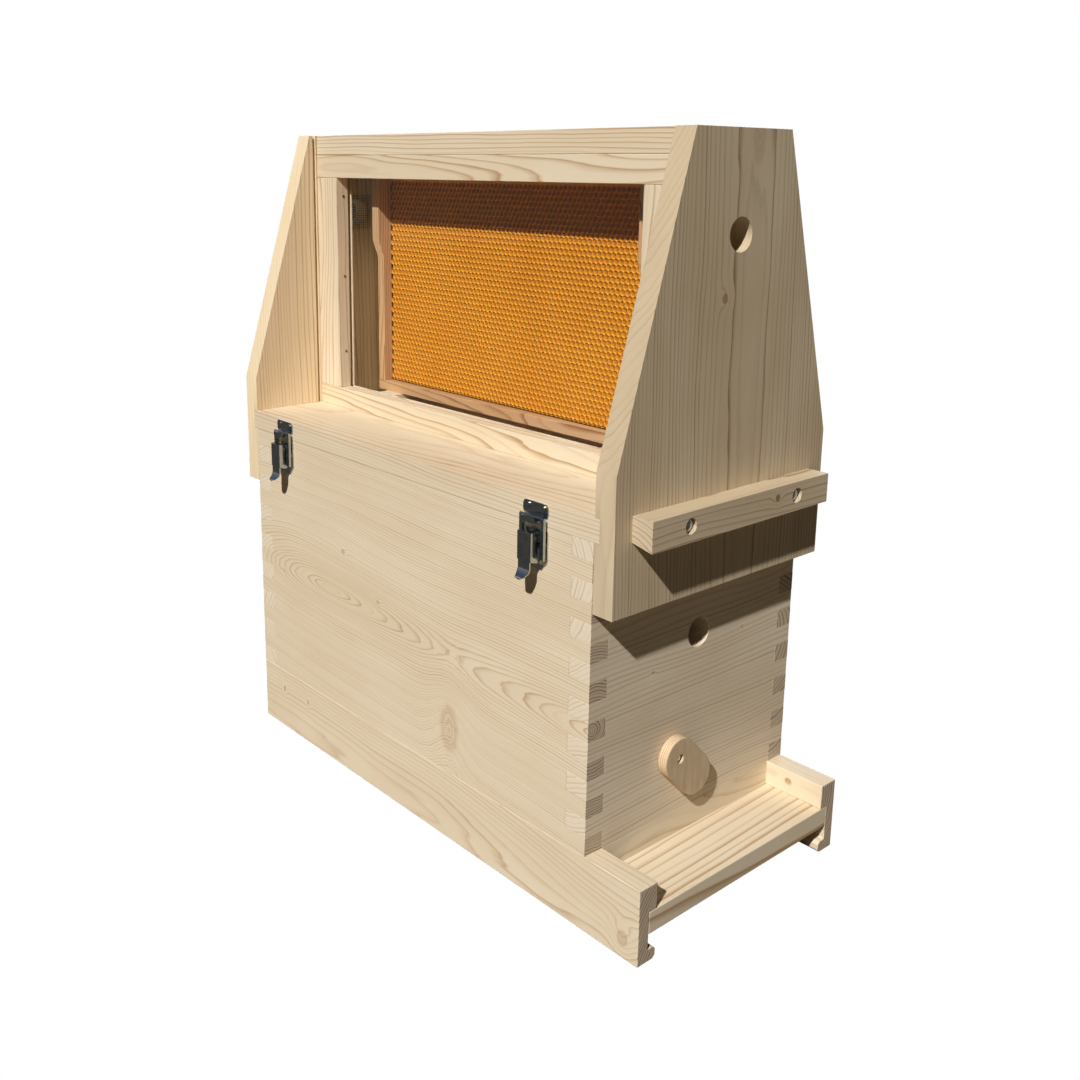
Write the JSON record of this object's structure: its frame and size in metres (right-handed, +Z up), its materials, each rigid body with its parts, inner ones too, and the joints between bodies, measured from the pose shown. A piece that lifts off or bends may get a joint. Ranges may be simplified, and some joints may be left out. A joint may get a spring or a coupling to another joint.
{
  "type": "beehive",
  "caption": "Wooden observation nucleus beehive: railed floor with landing board, finger-jointed box of comb frames, and a latched glazed section on top that shows one comb.",
  "frame": {"origin": "centre of the bounding box at ground level", "axes": "+X towards the entrance and landing board, +Y across the box, +Z up"},
  "size_m": [0.553, 0.2766, 0.585],
  "materials": {
    "pine": "planed, unfinished",
    "bar_wood": "planed, unfinished",
    "plywood": "sanded",
    "zinc": "zinc plated",
    "mesh": "woven wire",
    "glass": "clear",
    "wax": "embossed beeswax"
  },
  "bodies": {
    "nucleus_box": {"floor_rail_near": "pine", "floor_rail_far": "pine", "landing_board": "pine", "floor_front_batten": "pine", "floor_rear_batten": "pine", "floor_mesh": "mesh", "front_wall": "pine", "rear_wall": "pine", "side_wall_near": "pine", "side_wall_far": "pine", "frame_runners": "zinc", "box_vent_mesh": "mesh", "entrance_disc_screw": "zinc", "latch_1_base": "zinc", "latch_2_base": "zinc", "latch_3_base": "zinc", "latch_4_base": "zinc", "latch_base_screws": "zinc"},
    "entrance_disc": {"entrance_disc": "plywood"},
    "inspection_tray": {"inspection_tray": "pine"},
    "latch_1_lever": {"latch_1_lever": "zinc"},
    "latch_1_bail": {"latch_1_bail": "zinc"},
    "latch_2_lever": {"latch_2_lever": "zinc"},
    "latch_2_bail": {"latch_2_bail": "zinc"},
    "latch_3_lever": {"latch_3_lever": "zinc"},
    "latch_3_bail": {"latch_3_bail": "zinc"},
    "latch_4_lever": {"latch_4_lever": "zinc"},
    "latch_4_bail": {"latch_4_bail": "zinc"},
    "observation_comb": {"comb_top_bar": "bar_wood", "comb_side_bar_front": "bar_wood", "comb_side_bar_rear": "bar_wood", "comb_bottom_bars": "bar_wood", "comb_foundation": "wax"},
    "roof_board": {"roof_board": "pine"},
    "nuc_frame_1": {"nuc_frame_1": "bar_wood"},
    "nuc_frame_2": {"nuc_frame_2": "bar_wood"},
    "nuc_frame_3": {"nuc_frame_3": "bar_wood"},
    "nuc_frame_4": {"nuc_frame_4": "bar_wood"},
    "nuc_frame_5": {"nuc_frame_5": "bar_wood"},
    "observation_section": {"latch_keepers": "zinc", "keeper_screws": "zinc", "lid_board": "pine", "end_panel_front": "pine", "end_panel_rear": "pine", "carry_batten_front": "pine", "carry_batten_rear": "pine", "batten_screws": "zinc", "window_near_sill": "pine", "window_near_head": "pine", "window_near_stile_front": "pine", "window_near_stile_rear": "pine", "window_far_sill": "pine", "window_far_head": "pine", "window_far_stile_front": "pine", "window_far_stile_rear": "pine", "glass_near": "glass", "glass_far": "glass", "window_nails": "zinc", "panel_vent_meshes": "mesh", "comb_rests": "pine"}
  },
  "joints": [
    {"name": "observation_lift", "type": "slide", "parent": "nucleus_box", "child": "observation_section", "axis": [0, 0, 1], "range_m": [0, 0.3]},
    {"name": "roof_lift", "type": "slide", "parent": "observation_section", "child": "roof_board", "axis": [0, 0, 1], "range_m": [0, 0.3]},
    {"name": "observation_comb_lift", "type": "slide", "parent": "observation_section", "child": "observation_comb", "axis": [0, 0, 1], "range_m": [0, 0.24]},
    {"name": "nuc_frame_1_lift", "type": "slide", "parent": "nucleus_box", "child": "nuc_frame_1", "axis": [0, 0, 1], "range_m": [0, 0.225]},
    {"name": "nuc_frame_2_lift", "type": "slide", "parent": "nucleus_box", "child": "nuc_frame_2", "axis": [0, 0, 1], "range_m": [0, 0.225]},
    {"name": "nuc_frame_3_lift", "type": "slide", "parent": "nucleus_box", "child": "nuc_frame_3", "axis": [0, 0, 1], "range_m": [0, 0.225]},
    {"name": "nuc_frame_4_lift", "type": "slide", "parent": "nucleus_box", "child": "nuc_frame_4", "axis": [0, 0, 1], "range_m": [0, 0.225]},
    {"name": "nuc_frame_5_lift", "type": "slide", "parent": "nucleus_box", "child": "nuc_frame_5", "axis": [0, 0, 1], "range_m": [0, 0.225]},
    {"name": "latch_1_lever_turn", "type": "hinge", "parent": "nucleus_box", "child": "latch_1_lever", "pos_m": [0.1635, -0.127, 0.2945], "axis": [-1, 0, 0], "range_deg": [0, 75]},
    {"name": "latch_1_bail_turn", "type": "hinge", "parent": "latch_1_lever", "child": "latch_1_bail", "pos_m": [0.1635, -0.1245, 0.2795], "axis": [-1, 0, 0], "range_deg": [-42, 0]},
    {"name": "latch_2_lever_turn", "type": "hinge", "parent": "nucleus_box", "child": "latch_2_lever", "pos_m": [-0.1855, -0.127, 0.2945], "axis": [-1, 0, 0], "range_deg": [0, 75]},
    {"name": "latch_2_bail_turn", "type": "hinge", "parent": "latch_2_lever", "child": "latch_2_bail", "pos_m": [-0.1855, -0.1245, 0.2795], "axis": [-1, 0, 0], "range_deg": [-42, 0]},
    {"name": "latch_3_lever_turn", "type": "hinge", "parent": "nucleus_box", "child": "latch_3_lever", "pos_m": [0.1635, 0.127, 0.2945], "axis": [1, 0, 0], "range_deg": [0, 75]},
    {"name": "latch_3_bail_turn", "type": "hinge", "parent": "latch_3_lever", "child": "latch_3_bail", "pos_m": [0.1635, 0.1245, 0.2795], "axis": [1, 0, 0], "range_deg": [-42, 0]},
    {"name": "latch_4_lever_turn", "type": "hinge", "parent": "nucleus_box", "child": "latch_4_lever", "pos_m": [-0.1855, 0.127, 0.2945], "axis": [1, 0, 0], "range_deg": [0, 75]},
    {"name": "latch_4_bail_turn", "type": "hinge", "parent": "latch_4_lever", "child": "latch_4_bail", "pos_m": [-0.1855, 0.1245, 0.2795], "axis": [1, 0, 0], "range_deg": [-42, 0]},
    {"name": "entrance_disc_turn", "type": "hinge", "parent": "nucleus_box", "child": "entrance_disc", "pos_m": [0.2263, -0.026, 0.111], "axis": [1, 0, 0], "continuous": true},
    {"name": "inspection_tray_slide", "type": "slide", "parent": "nucleus_box", "child": "inspection_tray", "axis": [-1, 0, 0], "range_m": [0, 0.42]}
  ],
  "couplings": [
    {"joint": "observation_comb_lift", "follows": "roof_lift", "ratio": 0.8},
    {"joint": "nuc_frame_1_lift", "follows": "observation_lift", "ratio": 0.75},
    {"joint": "nuc_frame_2_lift", "follows": "observation_lift", "ratio": 0.75},
    {"joint": "nuc_frame_3_lift", "follows": "observation_lift", "ratio": 0.75},
    {"joint": "nuc_frame_4_lift", "follows": "observation_lift", "ratio": 0.75},
    {"joint": "nuc_frame_5_lift", "follows": "observation_lift", "ratio": 0.75},
    {"joint": "latch_1_bail_turn", "follows": "latch_1_lever_turn", "ratio": -0.547},
    {"joint": "latch_2_bail_turn", "follows": "latch_2_lever_turn", "ratio": -0.547},
    {"joint": "latch_3_bail_turn", "follows": "latch_3_lever_turn", "ratio": -0.547},
    {"joint": "latch_4_bail_turn", "follows": "latch_4_lever_turn", "ratio": -0.547}
  ]
}
